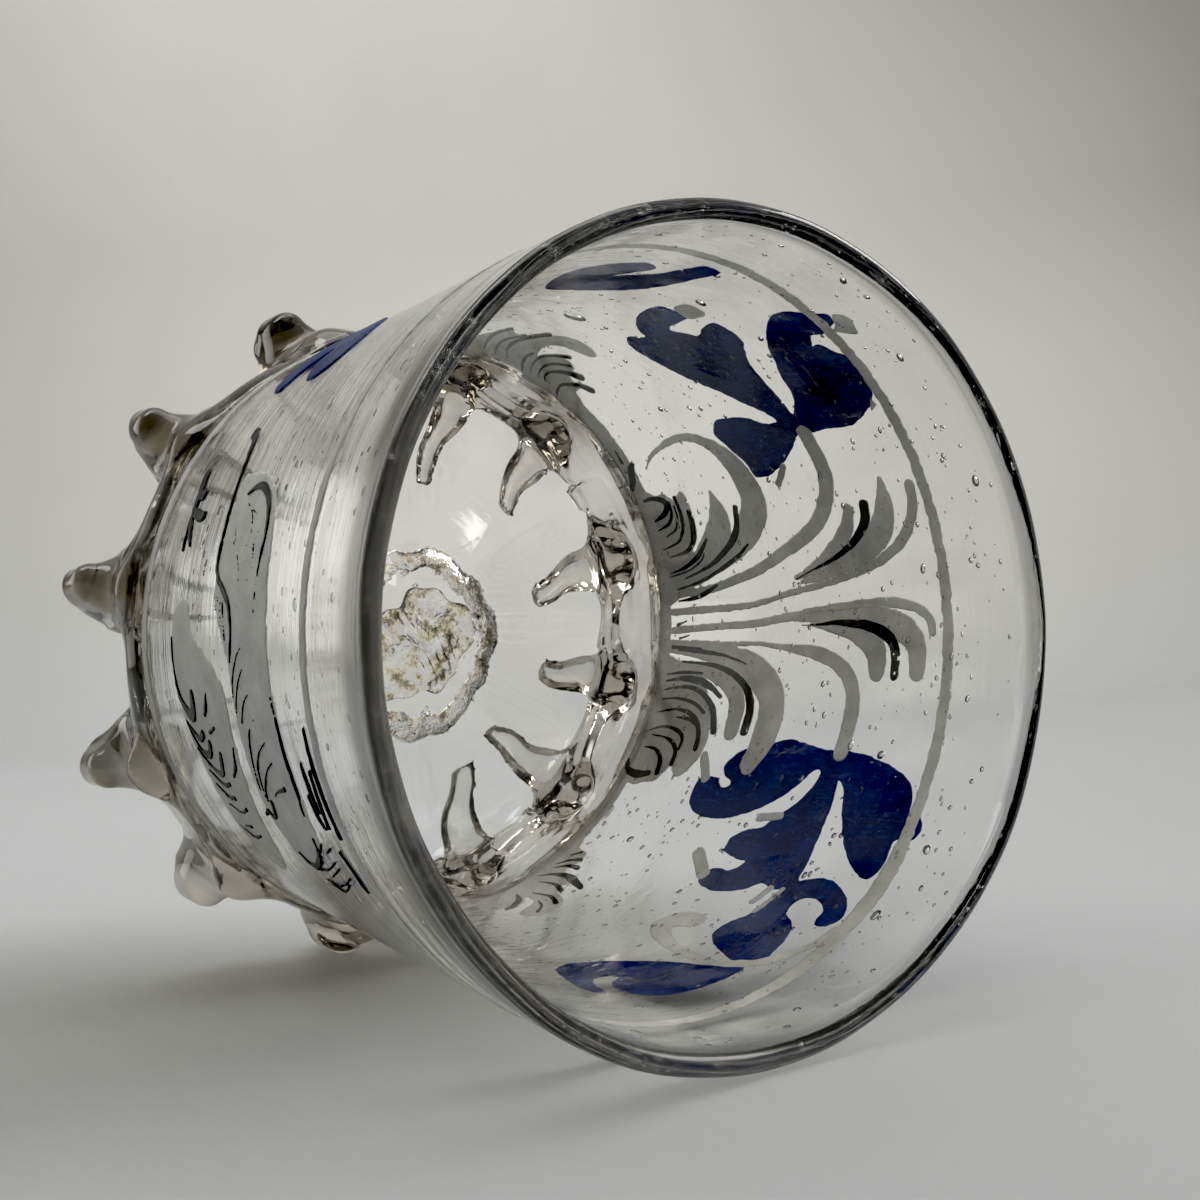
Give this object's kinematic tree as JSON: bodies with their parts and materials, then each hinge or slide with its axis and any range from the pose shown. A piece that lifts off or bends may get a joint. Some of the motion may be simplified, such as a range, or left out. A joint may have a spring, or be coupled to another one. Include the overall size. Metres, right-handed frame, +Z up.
{
  "type": "footed glass goblet",
  "caption": "Low wide drinking glass of clear blown glass with a rounded rim, an applied foot trail pincered into toes, and painted folk enamel ornament round its wall.",
  "frame": {"origin": "centre of the box's bottom face: on the bowl's axis, on the plane that the toes stand on", "axes": "+Z up along the bowl's axis to the rim; +X towards the middle of the painted palmette"},
  "size_m": [0.098, 0.0981, 0.096],
  "materials": {
    "clear_glass": "clear, slightly grey, with seeds and striae",
    "smoky_glass": "clear, thicker and smoky brown",
    "rough_glass": "broken, rough and glinting",
    "white_enamel": "fired enamel, satin, thin and brushed",
    "blue_enamel": "fired enamel, satin, deep navy with brush streaks",
    "black_enamel": "fired enamel, thick and glossy"
  },
  "bodies": {
    "root": {"bowl": "clear_glass", "toe_trail": "smoky_glass", "pontil_scar": "rough_glass", "upper_line": "white_enamel", "lower_line": "white_enamel", "left_scroll": "white_enamel", "left_fan": "white_enamel", "inner_stem": "white_enamel", "inner_lobe": "white_enamel", "inner_hook": "white_enamel", "outer_stem": "white_enamel", "outer_lobe": "white_enamel", "outer_leaf": "white_enamel", "right_scroll": "white_enamel", "right_side_fan": "white_enamel", "left_side_fan": "white_enamel", "left_curl": "white_enamel", "bird_body": "white_enamel", "bird_wing": "white_enamel", "right_flower": "blue_enamel", "left_flower": "blue_enamel", "left_blue_leaf": "blue_enamel", "right_blue_leaf": "blue_enamel", "far_blue_leaf": "blue_enamel", "left_vein": "black_enamel", "inner_vein": "black_enamel", "outer_vein": "black_enamel", "right_vein": "black_enamel", "bird_back": "black_enamel", "bird_breast": "black_enamel", "bird_tail": "black_enamel", "bird_crook": "black_enamel", "bird_claw": "black_enamel"}
  },
  "joints": []
}
